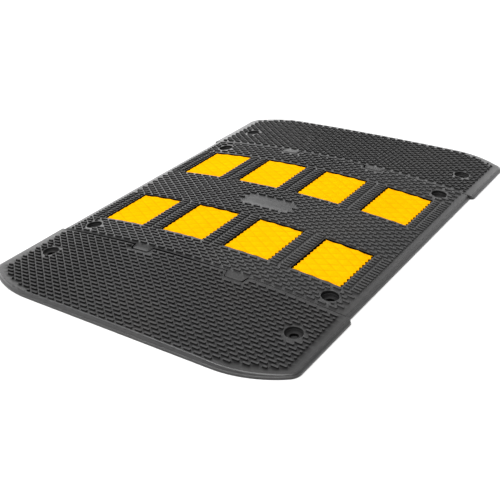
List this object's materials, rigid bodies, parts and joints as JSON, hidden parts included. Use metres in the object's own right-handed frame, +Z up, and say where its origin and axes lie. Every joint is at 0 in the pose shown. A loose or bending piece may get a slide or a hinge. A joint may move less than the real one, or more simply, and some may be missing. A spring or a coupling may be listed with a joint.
{
  "type": "speed bump",
  "caption": "Low arched rubber road hump: a centre module with recessed yellow reflective plates, closed at both sides by rounded end caps, bolted down through recessed holes.",
  "frame": {"origin": "middle of the flat underside of the whole hump, on the road surface", "axes": "+X is the direction of traffic over the hump (the arched one), +Y runs across the road from the socketed end cap to the tabbed end cap, +Z is up"},
  "size_m": [0.614, 0.89, 0.03],
  "materials": {
    "rubber_black": "satin",
    "reflector_yellow": "gloss"
  },
  "bodies": {
    "root": {"centre_module": "rubber_black", "socketed_end_cap_near": "rubber_black", "tabbed_end_cap_far": "rubber_black", "reflector_insert_near_1": "reflector_yellow", "reflector_insert_near_2": "reflector_yellow", "reflector_insert_near_3": "reflector_yellow", "reflector_insert_near_4": "reflector_yellow", "reflector_insert_far_1": "reflector_yellow", "reflector_insert_far_2": "reflector_yellow", "reflector_insert_far_3": "reflector_yellow", "reflector_insert_far_4": "reflector_yellow"}
  },
  "joints": []
}
